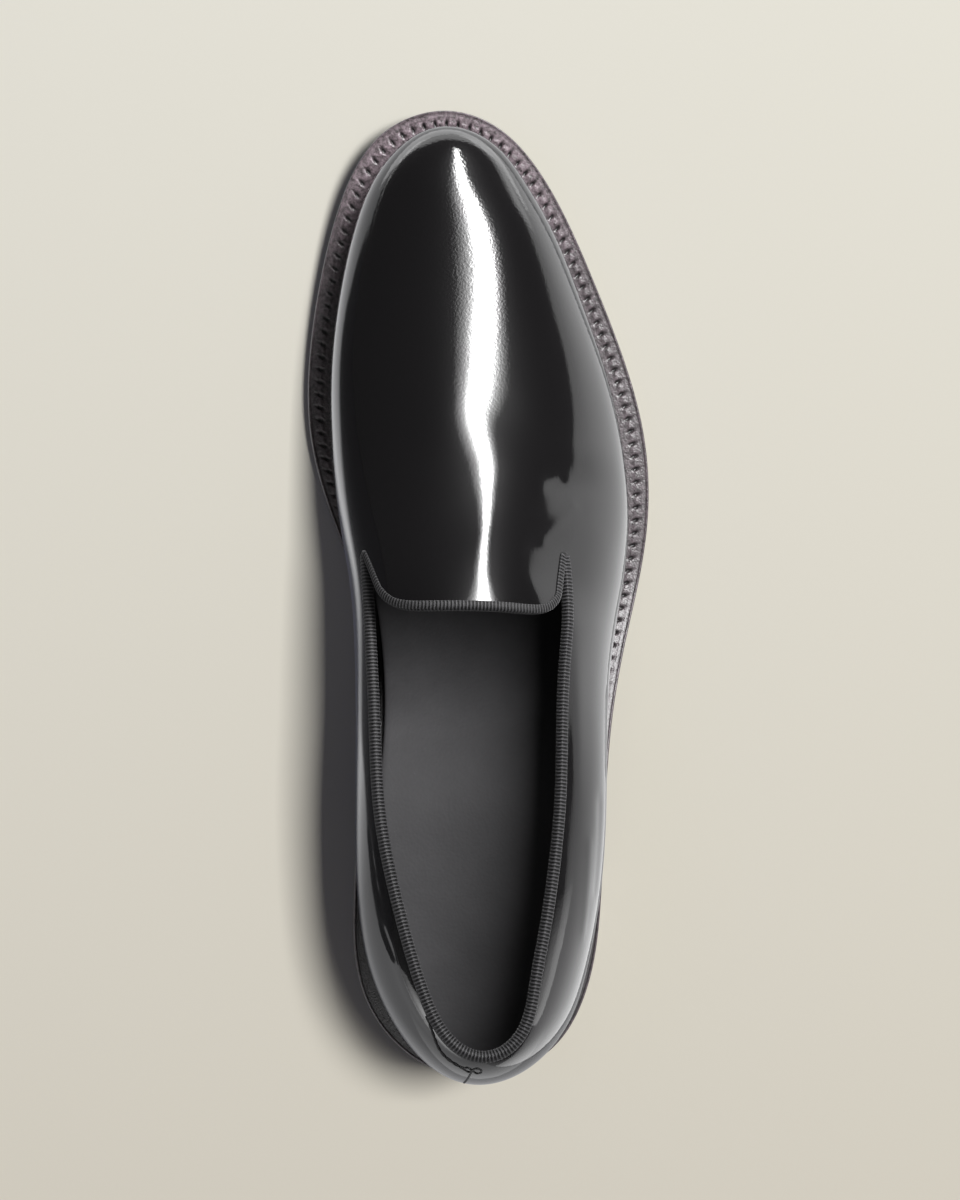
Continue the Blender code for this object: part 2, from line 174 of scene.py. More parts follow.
def planLine(name, around, inward=0.0, nudge=1e-4):
    # closed spline through an outline's points, moved inwards square to its edge
    x, s = linePoints(name)
    around = np.asarray(around, float)

    def at(place):
        return np.stack([splineThrough(knots, v, place % 1, True) for v in (x, s)], -1)

    along = unit(at(around + nudge) - at(around - nudge))
    outward = np.stack((along[:, 1], -along[:, 0]), -1)
    return at(around) - outward * inward


def underside(s):
    # level at the heel, a smooth fall to the ball, then a parabola up to the toe
    fall = np.clip((last["ballRear"] - s) / (last["ballRear"] - last["waistStart"]), 0, 1)
    spring = np.clip((s - last["ballFront"]) / (last["length"] - last["ballFront"]), 0, None)
    return last["heelHeight"] * fall ** 3 * (10 - 15 * fall + 6 * fall ** 2) + last["toeSpring"] * spring ** 2


def weltTop(s):
    # the underside plus the outsole and the welt
    return underside(s) + last["outsoleThick"] + last["weltThick"]


def sectionOf(s, name):
    # cubic spline through one column of the section table
    return splineThrough(sectionTable[:, 0], sectionTable[:, sectionColumns[name]], s)


halfway = np.linspace(0, 0.5, 1500)
widestLateral = planLine("widest", halfway)
widestMedial = planLine("widest", 1 - halfway)
soleDense = planLine("sole", np.linspace(0, 1, 4000))
middle = np.array([*((soleDense.max(0) + soleDense.min(0)) / 2), 0.0])


def widestHeight(s):
    # the welt's top plus the rise of the widest line above it
    return weltTop(s) + sectionOf(s, "rise")


def domeHeight(x, s):
    # skewed superellipse over the width of each section, closed by a power curve at heel and toe
    lateral = np.interp(s, widestLateral[:, 1], widestLateral[:, 0])
    medial = np.interp(s, widestMedial[:, 1], widestMedial[:, 0])
    half = np.maximum((lateral - medial) / 2, 1e-6)
    across = np.clip((x - (lateral + medial) / 2) / half, -1, 1)
    skew, fullness = sectionOf(s, "skew"), sectionOf(s, "fullness")
    even = (1 - np.sqrt(1 - 4 * skew * (across - skew))) / (2 * skew)
    toHeel = np.clip((last["heelEnd"] - s) / (last["heelEnd"] - widestLateral[0, 1]), 0, 1)
    toToe = np.clip((s - last["toeEnd"]) / (widestLateral[-1, 1] - last["toeEnd"]), 0, 1)
    ends = (1 - toHeel ** last["heelPower"]) * (1 - toToe ** last["toePower"])
    tall = (sectionOf(s, "ridge") - widestHeight(s)) * ends ** (1 / fullness)
    power = 1 / (fullness - sectionOf(s, "lean") * even)
    return widestHeight(s) + tall * np.clip(1 - even ** 2, 0, 1) ** power


def domeNormal(x, s, step=0.2):
    # upward normal from the slopes of the dome along x and s
    dx = (domeHeight(x + step, s) - domeHeight(x - step, s)) / (2 * step)
    ds = (domeHeight(x, s + step) - domeHeight(x, s - step)) / (2 * step)
    return unit(np.stack((-dx, -ds, np.ones_like(dx)), -1))


def onDome(plan):
    # points in plan with the dome's height at each
    return np.concatenate((plan, domeHeight(plan[..., 0], plan[..., 1])[..., None]), -1)


def quads(index, closed=False):
    # four-sided faces of a grid of vertex numbers, its columns joined end to end where closed
    if closed:
        index = np.concatenate((index, index[:, :1]), 1)
    return np.stack((index[:-1, :-1], index[:-1, 1:], index[1:, 1:], index[1:, :-1]), -1).reshape(-1, 4)


def gridIndex(points, wrap=False):
    # vertex numbers of a grid of points, with the first row again at the end where the rows wrap
    index = np.arange(points[..., 0].size).reshape(points.shape[:2])
    return np.concatenate((index, index[:1])) if wrap else index


def evenRows(lines, shares):
    # points of each line at shares of its length, lines given as (points, columns, xyz)
    steps = norm(np.diff(lines, axis=0), axis=2)
    run = np.vstack((np.zeros(steps.shape[1]), np.cumsum(steps, 0)))
    run /= np.maximum(run[-1], 1e-9)
    place = np.stack([np.interp(shares, run[:, c], np.arange(len(run))) for c in range(run.shape[1])], 1)
    low = np.clip(place.astype(int), 0, len(lines) - 2)
    part = (place - low)[..., None]
    columns = np.arange(lines.shape[1])
    return lines[low, columns] * (1 - part) + lines[low + 1, columns] * part


def smoothStep(low, high, value):
    # 0 up to low, 1 from high on, and between them 3 squares less 2 cubes of the share of the way
    t = np.clip((value - low) / (high - low), 0, 1)
    return t * t * (3 - 2 * t)


def addPiece(name, points, faces, finishes, uv=None, merge=False):
    # a mesh in the shoe's frame; points in millimetres of x, s and height; uv one pair for each point
    mesh = bpy.data.meshes.new(name)
    mesh.from_pydata(((np.reshape(points, (-1, 3)) - middle) * mm).tolist(), [], np.asarray(faces).tolist())
    if uv is not None:
        corner = np.empty(len(mesh.loops), int)
        mesh.loops.foreach_get("vertex_index", corner)
        mesh.uv_layers.new(name="sizes").data.foreach_set("uv", np.asarray(uv, float)[corner].ravel())
    if merge:
        work = bmesh.new()
        work.from_mesh(mesh)
        bmesh.ops.remove_doubles(work, verts=work.verts, dist=1e-6)
        work.to_mesh(mesh)
        work.free()
    mesh.shade_smooth()
    for finish in finishes:
        mesh.materials.append(finish)
    piece = bpy.data.objects.new(name, mesh)
    scene.collection.objects.link(piece)
    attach(piece, "root")
    return piece


def linear(hexColour):
    # sRGB hex to linear light: a straight line for the darkest values, else a power of 2.4
    parts = [int(hexColour[i:i + 2], 16) / 255 for i in (1, 3, 5)]
    return [p / 12.92 if p <= 0.04045 else ((p + 0.055) / 1.055) ** 2.4 for p in parts] + [1.0]


def setInputs(node, inputs):
    # each input takes a value, or a link from a socket or from the first output of a node
    for key, value in dict(inputs).items():
        if isinstance(value, bpy.types.Node):
            value = value.outputs[0]
        if isinstance(value, bpy.types.NodeSocket):
            node.id_data.links.new(value, node.inputs[key])
        else:
            node.inputs[key].default_value = value


def addNode(tree, kind, inputs=(), stops=(), **settings):
    # one node with its settings and inputs; a ramp's stops are (place, hex colour), its two ends first
    node = tree.nodes.new("ShaderNode" + kind)
    for key, value in settings.items():
        setattr(node, key, value)
    setInputs(node, inputs)
    for k, (place, colour) in enumerate(stops):
        stop = node.color_ramp.elements[k] if k < 2 else node.color_ramp.elements.new(place)
        stop.position = place
        stop.color = linear(colour)
    return node


def startMaterial(name, inputs):
    # Principled shader with constant values on its own sockets, and what adds a node beside it
    made = bpy.data.materials.new(name)
    made.use_nodes = True
    shader = made.node_tree.nodes["Principled BSDF"]
    setInputs(shader, inputs)
    return made, shader, partial(addNode, made.node_tree)


patentLook = {
    "black": "#0a090a",
    "roughness": 0.30,
    "ior": 1.55,
    "specular": 0.05,  # low, because the lacquer over it gives the gloss
    "coatRoughness": 0.04,
    "peelSize": 0.75,  # mm, orange peel of the lacquer
    "peelHeight": 0.030,  # mm
    "peelAway": 0.3,  # share of it left behind the ball, where the lacquer lies smoother
    "peelGrows": (0.05, 0.10),  # m ahead of the middle over which it grows to the whole
    "waveSize": 14.0,  # mm, slow waves of the leather under it
    "waveHeight": 0.05,
}


def patentLeather():
    # patent leather, calf under poured polyurethane lacquer: mirror gloss, black depth, faint orange peel
    look = patentLook
    made, shader, add = startMaterial("patent leather, lacquered", {
        "Base Color": linear(look["black"]), "Roughness": look["roughness"], "IOR": look["ior"],
        "Specular IOR Level": look["specular"], "Coat Weight": 1.0, "Coat Roughness": look["coatRoughness"],
        "Coat IOR": look["ior"]})
    place = add("TexCoord").outputs["Object"]
    peel = add("TexNoise", {"Vector": place, "Scale": 1000 / look["peelSize"], "Detail": 2.0})
    wave = add("TexNoise", {"Vector": place, "Scale": 1000 / look["waveSize"], "Detail": 1.0})
    slow = add("Bump", {"Height": wave, "Strength": 1.0, "Distance": look["waveHeight"] * mm})
    along = add("SeparateXYZ", {"Vector": place}).outputs["Y"]
    start, end = look["peelGrows"]
    strong = add("MapRange", {
        "Value": along, "From Min": start, "From Max": end, "To Min": look["peelAway"]})
    fine = add("Bump", {
        "Height": peel, "Strength": strong, "Distance": look["peelHeight"] * mm, "Normal": slow})
    setInputs(shader, {"Normal": fine, "Coat Normal": fine})
    return made


leatherLook = {  # what all the grained leathers share
    "pit": "#0a0808",  # colour of painted shade, mixed in where a relief attribute is low
    "darkAt": 0.32,  # mottling at which the dye is darkest and lightest
    "lightAt": 0.68,
    "smoother": 0.06,  # off the roughness where it is dark, and on to it where it is light
    "rougher": 0.08,
}


def grainedLeather(name, dark, light, roughness, grainSize, grainHeight, mottleSize, specular, relief=None):
    # dyed leather: pebbled grain from Voronoi cells, slow mottling of the dye, satin roughness;
    # a relief attribute mixes the pit colour, painted shade, over the dye where the attribute is low
    look = leatherLook
    made, shader, add = startMaterial(name, {"Specular IOR Level": specular})
    place = add("TexCoord").outputs["Object"]
    mottle = add("TexNoise", {"Vector": place, "Scale": 1000 / mottleSize, "Detail": 5.0, "Roughness": 0.65})
    tone = add("ValToRGB", {"Fac": mottle}, ((look["darkAt"], dark), (look["lightAt"], light)))
    if relief:
        # painted shade: where the relief attribute is low the dye turns towards the pit colour
        low = add("Attribute", attribute_name=relief).outputs["Fac"]
        paintedShadeMix = add("Mix", {"Factor": low, 6: linear(look["pit"]), 7: tone}, data_type="RGBA")
        tone = paintedShadeMix.outputs[2]
    cells = add("TexVoronoi", {"Vector": place, "Scale": 1000 / grainSize}, feature="SMOOTH_F1")
    rough = add("MapRange", {
        "Value": mottle, "To Min": roughness - look["smoother"], "To Max": roughness + look["rougher"]})
    bump = add("Bump", {"Height": cells, "Strength": 1.0, "Distance": grainHeight * mm})
    setInputs(shader, {"Base Color": tone, "Roughness": rough, "Normal": bump})
    return made


ribbonLook = {
    "flap": 1.7,  # mm down each side of the wall
    "edge": 3.4,  # mm, scale of the fold beyond the wall's edge
    "thick": 0.42,
    "ribPitch": 1.08,
    "ribHeight": 0.19,
    "pointsPerRib": 6,
    "round": 0.8,  # mm, rounding of the path at the notch tips
    "weaveAcross": 12.0,  # the ribbon's width in ribs, for the threads' pattern
    # painted shade in the valleys of the ribs, painted light on their crests
    "valley": "#020202",
    "crest": "#434244",
    "valleyAt": 0.56,  # places on a rib's swell of the two colours
    "crestAt": 0.90,
    "threadScale": 3.0,  # uneven threads to a rib, how far they darken it, height in mm
    "threadDark": 0.3,
    "threadHeight": 0.08,
    "roughness": 0.55,
    "sheen": 0.15,
}


def grosgrainRibbon():
    # grosgrain, rayon ribbon with ribs across it: painted shade in the valleys and painted light on the
    # crests, under a dull silky sheen
    look = ribbonLook
    made, shader, add = startMaterial("grosgrain ribbon, ribbed weave", {
        "Roughness": look["roughness"], "Specular IOR Level": 0.25, "Sheen Weight": look["sheen"],
        "Sheen Roughness": 0.4})
    uv = add("UVMap", uv_map="sizes")
    along = add("SeparateXYZ", {"Vector": uv}).outputs["X"]
    rib = add("Math", {0: along}, operation="FRACT")
    # painted light on the crests from the sine of each rib's phase, less where the threads are uneven
    crest = add("Math", {0: rib, 1: math.pi}, operation="MULTIPLY")
    crest = add("Math", {0: crest}, operation="SINE")
    thread = add("TexNoise", {"Vector": uv, "Scale": look["threadScale"], "Detail": 4.0})
    threadsAndPaintedRibLight = add("Math", {0: thread, 1: -look["threadDark"], 2: crest}, operation="MULTIPLY_ADD")
    stops = (look["valleyAt"], look["valley"]), (look["crestAt"], look["crest"])
    tone = add("ValToRGB", {"Fac": threadsAndPaintedRibLight}, stops)
    bump = add("Bump", {"Height": thread, "Strength": 0.6, "Distance": look["threadHeight"] * mm})
    setInputs(shader, {"Base Color": tone, "Normal": bump})
    return made


# name, dark and light dye, roughness, grain size and height in mm, mottling in mm, specular, relief
leathers = (
    # lining: soft black that swallows the light inside the wall
    ("lining leather, dyed black", "#0b0a0a", "#151313", 0.6, 0.9, 0.05, 9.0, 0.35),
    # sock: matt, cloudy grey that stands off from the black around it
    ("sock leather, dyed grey-black and matt", "#464547", "#525153", 0.62, 0.9, 0.05, 26.0, 0.4),
    # welt: mottled from brown-black to a purple-grey that is partly painted sheen; its relief attribute adds
    # painted shade in the stitch pits, so that the stitch pits read as dark dots
    ("welt leather, waxed and wheeled", "#241c1d", "#85767d", 0.42, 0.55, 0.09, 1.3, 0.7, "relief"),
    # sole: dark edge with a satin gleam along it
    ("sole leather, stained and burnished", "#16110f", "#2a211e", 0.38, 0.7, 0.03, 5.0, 0.5),
    # heel: darker still, so that the lines between the lifts only just show
    ("heel leather, stacked and burnished", "#14100f", "#241d1b", 0.36, 0.7, 0.03, 4.0, 0.5),
    # thread: deep black with a dull gleam on each stitch
    ("waxed thread, black", "#050505", "#121112", 0.5, 0.4, 0.05, 1.0, 0.4),
)
patent = patentLeather()
lining, sock, weltFinish, edgeFinish, heelFinish, threadFinish = (grainedLeather(*row) for row in leathers)
ribbonFinish = grosgrainRibbon()
print("materials made")

# The upper
upperSize = {
    "vampSteps": 180,
    "quarterSteps": 100,  # each side
    "tuckSteps": 8,
    "domeSteps": 84,
    "tabSteps": 12,
    "linePoints": 500,
    "crowding": 1.35,  # above 1 the rows are closer near the welt
    "footDrop": 0.65,  # mm that the foot goes down to press on the welt
}
# soft troughs of the leather: x and s of both ends, half width and depth in mm (a ridge is negative)
creases = (
    (-35.2, 78.0, -33.6, 66.0, 1.2, 0.09),
    (-33.8, 72.0, -31.8, 60.0, 1.1, -0.08),
    (-33.4, 63.0, -31.0, 54.0, 1.2, 0.10),
    (-31.6, 57.0, -29.2, 48.0, 1.1, -0.08),
    (-31.4, 50.0, -28.4, 42.0, 1.2, 0.10),
    (-28.6, 47.0, -26.4, 38.0, 1.0, -0.07),
    (38.0, 118.0, 37.2, 96.0, 2.4, 0.16),
    (34.6, 86.0, 33.0, 60.0, 2.6, 0.18),
    (31.0, 74.0, 29.0, 48.0, 2.2, -0.14),
    (24.0, 184.0, 14.0, 176.0, 2.2, 0.12),
    (28.0, 176.0, 17.0, 166.0, 2.0, -0.10),
)
# slow turns of the vamp along its ridge: s, x, degrees towards the lateral side
vampTurns = np.array([
    (145.0, -1.8, -4.0), (157.0, -2.2, -4.4), (165.0, -1.7, -4.9), (174.0, -0.8, -4.2), (181.0, -0.6, -2.9),
    (189.0, -0.8, -1.3), (196.5, -1.9, 1.3), (204.0, -2.7, 3.1), (214.0, -1.3, 2.2), (224.0, -0.3, 1.3),
    (236.0, 0.7, -0.2), (248.0, 0.8, -1.3), (257.5, -0.3, -1.3), (268.0, -3.0, 0.2), (277.0, -6.9, 2.6),
    (285.0, -9.8, 2.0), (294.0, -10.0, 0.0),
])
vampTurnWidth = 16.0  # mm, half width of the stretch that turns
vampTurnLead = 6.0  # mm behind the first station that turn with it
# places where the leather is steeper: x, s, degrees towards the lateral side, half width, half length
slopes = (
    (25.5, 112.0, -9.0, 3.0, 26.0),
)
# the vamp sags beside the lateral notch: s, x of the sag's inner edge, degrees that the leather tips there
sag = np.array([
    (138.0, 16.5, 0.0), (144.0, 15.5, 3.5), (150.0, 13.5, 7.0), (155.0, 11.0, 8.5), (160.0, 10.0, 9.0),
    (166.0, 10.5, 9.0), (170.0, 12.5, 8.2), (174.0, 15.2, 7.8), (179.0, 16.2, 8.5), (184.0, 16.2, 10.0),
    (188.0, 17.0, 6.5), (192.0, 19.0, 1.5), (196.0, 19.5, 0.0),
])
sagSize = {
    "soft": 0.7,  # mm over which the edge bends
    "reach": 13.0,  # mm across which the tip eases off to nothing
    "fade": 20.0,  # mm beyond that, down the side, in which the leather comes back out
}


def upperGrid():
    # outer face: around the shoe by the widest line's own measure, up by arc length of each wall line;
    # a wall line is a part ellipse from the feather line, then the dome along a straight line in plan
    size = upperSize
    vamp, quarter = size["vampSteps"], size["quarterSteps"]
    notch = last["notch"]
    lateralNotch = np.interp(notch, widestLateral[:, 1], halfway)
    medialNotch = 1 - np.interp(notch, widestMedial[:, 1], halfway)
    around = np.concatenate((np.linspace(lateralNotch, medialNotch, vamp + 1),
                             np.linspace(medialNotch, 1 + lateralNotch, 2 * quarter + 1)[1:-1]))
    widest = planLine("widest", around)
    base = widestHeight(widest[:, 1])
    ahead = np.clip(1 - widest[:, 1] / last["aimReach"], 0, None)
    aim = np.stack((np.full(len(around), last["aimX"]), widest[:, 1] + last["aimAhead"] * ahead ** 2), -1)
    share = np.linspace(0, 1, size["linePoints"]) ** 2
    plan = widest + (aim - widest) * share[:, None, None]
    height = onDome(plan)[..., 2]
    topline = splineThrough(toplineTable[:, 0], toplineTable[:, 1], widest[:, 1])
    meets = np.array([np.interp(topline[c], height[:, c], share) for c in range(len(around))])
    inner = widest + (aim - widest) * meets[:, None]

    # the vamp's lines end on a line across the ridge from notch to notch
    fromNotch, toNotch = inner[0], inner[vamp]
    cross = fromNotch + (toNotch - fromNotch) * np.linspace(0, 1, size["linePoints"])[:, None]
    inner[:vamp + 1] = evenRows(onDome(cross)[:, None, :], np.linspace(0, 1, vamp + 1))[:, 0, :2]
    plan = widest + (inner - widest) * share[:, None, None]
    lines = onDome(plan)
    lines[0, :, 2] = base
    domeRows = evenRows(lines, np.linspace(0, 1, size["domeSteps"]) ** size["crowding"])

    feather = planLine("feather", around)
    foot = weltTop(feather[:, 1]) + last["gap"] - size["footDrop"]
    whole = math.radians(last["tuckAngle"])
    turn = np.linspace(whole, 0, size["tuckSteps"] + 1)[:-1, None]
    inward = (1 - np.cos(turn)) / (1 - math.cos(whole))
    tuckPlan = widest + (feather - widest) * inward[..., None]
    tuckRows = np.dstack((tuckPlan, base + (foot - base) * np.sin(turn) / math.sin(whole)))

    # the tab runs back from that line to the throat
    front = inner[:vamp + 1]
    spread = np.interp(-front[:, 0], (-fromNotch[0], -last["tabMiddle"], -toNotch[0]), (1, 0, -1))
    corner = last["tabCorner"] * np.abs(spread) ** last["tabCornerPower"]
    throatS = last["tabBack"] - last["tabHollow"] * spread ** 2 - last["tabSlant"] * spread + corner
    throat = np.stack((last["tabMiddle"] + last["tabHalfWidth"] * spread, throatS), -1)
    tabPlan = front + (throat - front) * np.linspace(0, 1, size["tabSteps"] + 1)[1:, None, None]
    return np.concatenate((tuckRows, domeRows)), onDome(tabPlan)


def fromLine(table, points):
    # distance across from a table's line, and the angle there, by splines through its columns along s
    s = np.clip(points[:, 1], table[0, 0], table[-1, 0])
    x, degrees = (splineThrough(table[:, 0], table[:, k], s) for k in (1, 2))
    return points[:, 0] - x, np.radians(degrees)


def creaseDepth(points):
    # a sum: each crease's depth times a bell curve of the distance to it; each slope's angle, and the vamp's,
    # times the distance across from its line, under a bell curve; the sag's angle times an eased run past it
    depth = np.zeros(len(points))
    for x0, s0, x1, s1, width, deep in creases:
        a, b = onDome(np.array([(x0, s0), (x1, s1)]))
        along = np.clip((points - a) @ (b - a) / np.sum((b - a) ** 2), 0, 1)
        gap = norm(points - a - along[:, None] * (b - a), axis=1)
        depth += deep * np.exp(-(gap / width) ** 2)
    for x, s, degrees, halfWidth, halfLength in slopes:
        across, along = (points[:, 0] - x) / halfWidth, (points[:, 1] - s) / halfLength
        depth += math.radians(degrees) * halfWidth * across * np.exp(-across ** 2 - along ** 2)
    past, tip = fromLine(sag, points)
    run = np.minimum(np.logaddexp(0, past / sagSize["soft"]) * sagSize["soft"], sagSize["reach"])
    kept = 1 - smoothStep(sagSize["reach"], sagSize["reach"] + sagSize["fade"], past)
    depth += np.maximum(tip, 0) * (run - run ** 2 / (2 * sagSize["reach"])) * kept
    across, turn = fromLine(vampTurns, points)
    turning = np.exp(-(across / vampTurnWidth) ** 2) * (points[:, 1] > vampTurns[0, 0] - vampTurnLead)
    return depth + turn * across * turning


ring, tab = upperGrid()
rows, columns = ring.shape[:2]
vampSteps = upperSize["vampSteps"]
upperPoints = np.concatenate((ring.reshape(-1, 3), tab.reshape(-1, 3)))
ringIndex = gridIndex(ring)
tabIndex = np.concatenate((ringIndex[-1:, :vampSteps + 1], rows * columns + gridIndex(tab)))
upperFaces = np.concatenate((quads(ringIndex, True), quads(tabIndex)))
upper = addPiece("upper_patent", upperPoints, upperFaces, (patent, lining))
normals = np.empty(len(upperPoints) * 3)
upper.data.vertices.foreach_get("normal", normals)
normals = normals.reshape(-1, 3)
upperPoints = upperPoints - normals * creaseDepth(upperPoints)[:, None]
upper.data.vertices.foreach_set("co", ((upperPoints - middle) * mm).ravel())
upper.data.update()
wall = upper.modifiers.new("wall", "SOLIDIFY")
wall.thickness = last["wall"] * mm
wall.offset = -1.0
wall.material_offset = 1
wall.material_offset_rim = 1
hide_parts("upper")
print("upper:", len(upperFaces), "faces a side")

# The ribbon around the topline
ribbonProfile = np.array([  # into the wall's face, lift off it, then the direction of the ribs' relief
    (1.00, 0.06, 0.0, 0.0), (1.00, 0.60, 0.0, 0.3), (0.88, 0.86, 0.0, 1.0), (0.60, 0.92, 0.0, 1.0),
    (0.30, 0.92, 0.0, 1.0), (0.08, 0.86, 0.0, 1.0), (-0.08, 0.62, -0.6, 0.8), (-0.20, 0.18, -0.9, 0.3),
    (-0.26, -0.50, -1.0, 0.0), (-0.20, -1.18, -0.9, -0.3), (-0.08, -1.62, -0.6, -0.8),
    (0.08, -1.86, 0.0, -1.0), (0.30, -1.92, 0.0, -1.0), (0.60, -1.92, 0.0, -1.0), (0.88, -1.86, 0.0, -1.0),
    (1.00, -1.60, 0.0, -0.3), (1.00, -1.06, 0.0, 0.0), (0.05, -1.04, 0.0, 0.0), (0.02, -0.50, 0.0, 0.0),
    (0.05, 0.04, 0.0, 0.0),
])


def ribbonPath():
    # closed path along the topline: tab side, throat, other tab side, quarters around the heel
    look = ribbonLook
    route = np.concatenate((tabIndex[:-1, 0], tabIndex[-1], tabIndex[-2:0:-1, -1], ringIndex[-1, vampSteps:]))
    points, facing = upperPoints[route], normals[route]
    closed = np.concatenate((points, points[:1]))
    run = np.concatenate(([0], np.cumsum(norm(np.diff(closed, axis=0), axis=1))))
    ribs = round(run[-1] / look["ribPitch"])
    count = ribs * look["pointsPerRib"]
    place = np.arange(count) / count * run[-1]
    smooth = np.fft.rfftfreq(count, run[-1] / count)
    keep = np.exp(-2 * (np.pi * smooth * look["round"]) ** 2)[:, None]
    even = [np.stack([np.interp(place, run, np.append(axis, axis[0])) for axis in v.T], 1)
            for v in (points, facing)]
    path, normal = (np.fft.irfft(np.fft.rfft(v, axis=0) * keep, count, axis=0) for v in even)
    tangent = unit(np.roll(path, -1, 0) - np.roll(path, 1, 0))
    normal = unit(normal - tangent * np.sum(normal * tangent, 1, keepdims=True))
    return path, normal, np.cross(tangent, normal), np.arange(count) / look["pointsPerRib"]


def makeRibbon():
    # profile folded over the wall's edge, carried along the path; ribs swell it by the root of a sine
    look = ribbonLook
    path, normal, into, ribs = ribbonPath()
    relief = look["ribHeight"] * np.sqrt(np.abs(np.sin(np.pi * ribs)))
    wallThick = last["wall"]
    flap, lift, ribInto, ribLift = ribbonProfile.T
    inside = lift < -0.5
    out = np.where(inside, -wallThick + (lift + 1) * look["thick"], lift * look["thick"])
    out = np.where(lift == -0.5, -wallThick / 2, out)
    deep = flap * np.where(flap > 0, look["flap"], look["edge"])
    a = deep[:, None] + ribInto[:, None] * relief
    b = out[:, None] + ribLift[:, None] * relief
    points = path + into * a[..., None] + normal * b[..., None]
    faces = quads(gridIndex(points, True), True)[:, ::-1]
    across = np.linspace(0, look["weaveAcross"], len(ribbonProfile))
    uv = np.stack(np.broadcast_arrays(ribs[None, :], across[:, None]), -1).reshape(-1, 2)
    piece = addPiece("topline_ribbon", points, faces, (ribbonFinish,), uv)
    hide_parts("topline_binding")
    print("ribbon:", int(ribs[-1]) + 1, "ribs")


makeRibbon()

# The stitched welt
weltLook = {
    "aroundSteps": 2160,
    "acrossSteps": 20,
    "pitch": 4.05,  # mm between stitches
    "stitchLine": 4.15,  # mm in from the outer edge
    "pitDepth": 0.80,
    "pitLong": 0.55,  # mm, half sizes of a pit along the edge and across it
    "pitWide": 0.75,
    "threadHeight": 0.26,
    "threadWide": 0.55,
    "threadEnd": 0.7,  # mm from a pit in which the thread dips
    "grooveDepth": 0.16,
    "grooveWide": 0.35,
    "grooveFrom": (1.7, 2.3),  # mm in from the edge where cross grooves begin, then where they end
    "grooveTo": (5.0, 5.6),
    "rimAt": 1.15,  # mm, groove that sets off the smooth rim
    "rimDepth": 0.15,
    "rimWide": 0.3,
    "stitchedFrom": 74.0,  # stitching starts at the heel breast
    "stitchedOver": 8.0,
    "footEase": (-0.8, -0.1),  # mm about the upper's foot where the relief ends, then where its tone ends in painted shade under the foot
    "footShade": (-0.2, 0.6),
    "topInset": 0.75,  # mm from the sole's edge to the edge of the top
    "side": ((0.5, 0.0), (0.12, 0.5), (0.1, 1.6), (0.22, 2.25), (0.5, 2.6)),  # inset and height
    "sideTone": 0.45,
    "toneDepths": (-0.5, 0.12),  # mm of relief that are darkest and lightest: painted shade in the pits and grooves
    "paintedLightAtHeel": 0.12,  # painted light and shade along the welt: tone at the heel, darkest there, then what comes to it between two stations, up to the lightest at the toe
    "paintedLightSteps": ((0.20, 60.0, 110.0), (0.06, 120.0, 180.0), (0.62, 240.0, 292.0)),
}


def weltRelief(inwards, phase, s, reach):
    # rim groove, then for each stitch a pit, a cross groove and the swell of thread between the pits;
    # all of it ends where the upper's foot stands on the welt
    look = weltLook
    near = (phase - np.round(phase)) * look["pitch"]
    row = inwards - look["stitchLine"]
    pit = -look["pitDepth"] * np.exp(-(near / look["pitLong"]) ** 2 - (row / look["pitWide"]) ** 2)
    window = smoothStep(*look["grooveFrom"], inwards) * (1 - smoothStep(*look["grooveTo"], inwards))
    groove = -look["grooveDepth"] * np.exp(-(near / look["grooveWide"]) ** 2) * window
    swell = 1 - np.exp(-(near / look["threadEnd"]) ** 2)
    thread = look["threadHeight"] * np.exp(-(row / look["threadWide"]) ** 2) * swell
    stitched = smoothStep(look["stitchedFrom"], look["stitchedFrom"] + look["stitchedOver"], s)
    rim = -look["rimDepth"] * np.exp(-((inwards - look["rimAt"]) / look["rimWide"]) ** 2)
    start, end = (reach + far for far in look["footEase"])
    return (rim + stitched * (pit + groove + thread)) * (1 - smoothStep(start, end, inwards))


def makeWelt():
    # ring: outer side by depths and insets, top as a straight ruling from sole edge to feather line
    look = weltLook
    around = np.arange(look["aroundSteps"]) / look["aroundSteps"]
    low, high = last["outsoleThick"] + last["gap"], last["outsoleThick"] + last["weltThick"]

    def level(plan, above):
        return np.column_stack((plan, underside(plan[:, 1]) + above))

    outer = planLine("sole", around, look["topInset"])
    inner = planLine("feather", around, last["wall"] + last["gap"])
    sides = [level(inner, low)]
    sides += [level(planLine("sole", around, inset), low + above) for inset, above in look["side"]]
    share = np.linspace(0, 1, look["acrossSteps"])[:, None, None]
    top = outer + (inner - outer) * share
    inwards = norm(top - planLine("sole", around), axis=2)
    steps = norm(outer - np.roll(outer, 1, 0), axis=1)
    steps[0] = 0.0
    length = steps.sum() + norm(outer[0] - outer[-1])
    phase = np.cumsum(steps) / length * round(length / look["pitch"])
    reach = norm(planLine("feather", around) - planLine("sole", around), axis=1)
    relief = weltRelief(inwards, phase, top[..., 1], reach)
    height = underside(top[..., 1]) + high - last["gap"] + relief
    points = np.concatenate((np.array(sides), np.dstack((top, height))))
    faces = quads(gridIndex(points, True), True)
    piece = addPiece("welt_stitched", points, faces, (weltFinish,))
    # painted light along the welt, dark at the heel and light at the toe, times painted shade in the pits and
    # grooves and under the upper's foot; this is painted light, not a stain
    stained = look["paintedLightAtHeel"]
    for more, start, end in look["paintedLightSteps"]:
        stained = stained + more * smoothStep(start, end, top[..., 1])
    start, end = (reach + far for far in look["footShade"])
    shown = smoothStep(*look["toneDepths"], relief) * stained * (1 - smoothStep(start, end, inwards))
    tone = np.concatenate((np.full((len(sides), len(around)), look["sideTone"]), shown))
    piece.data.attributes.new("relief", "FLOAT", "POINT").data.foreach_set("value", tone.ravel())
    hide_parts("welt")
    print("welt:", round(length / look["pitch"]), "stitch places around")


makeWelt()

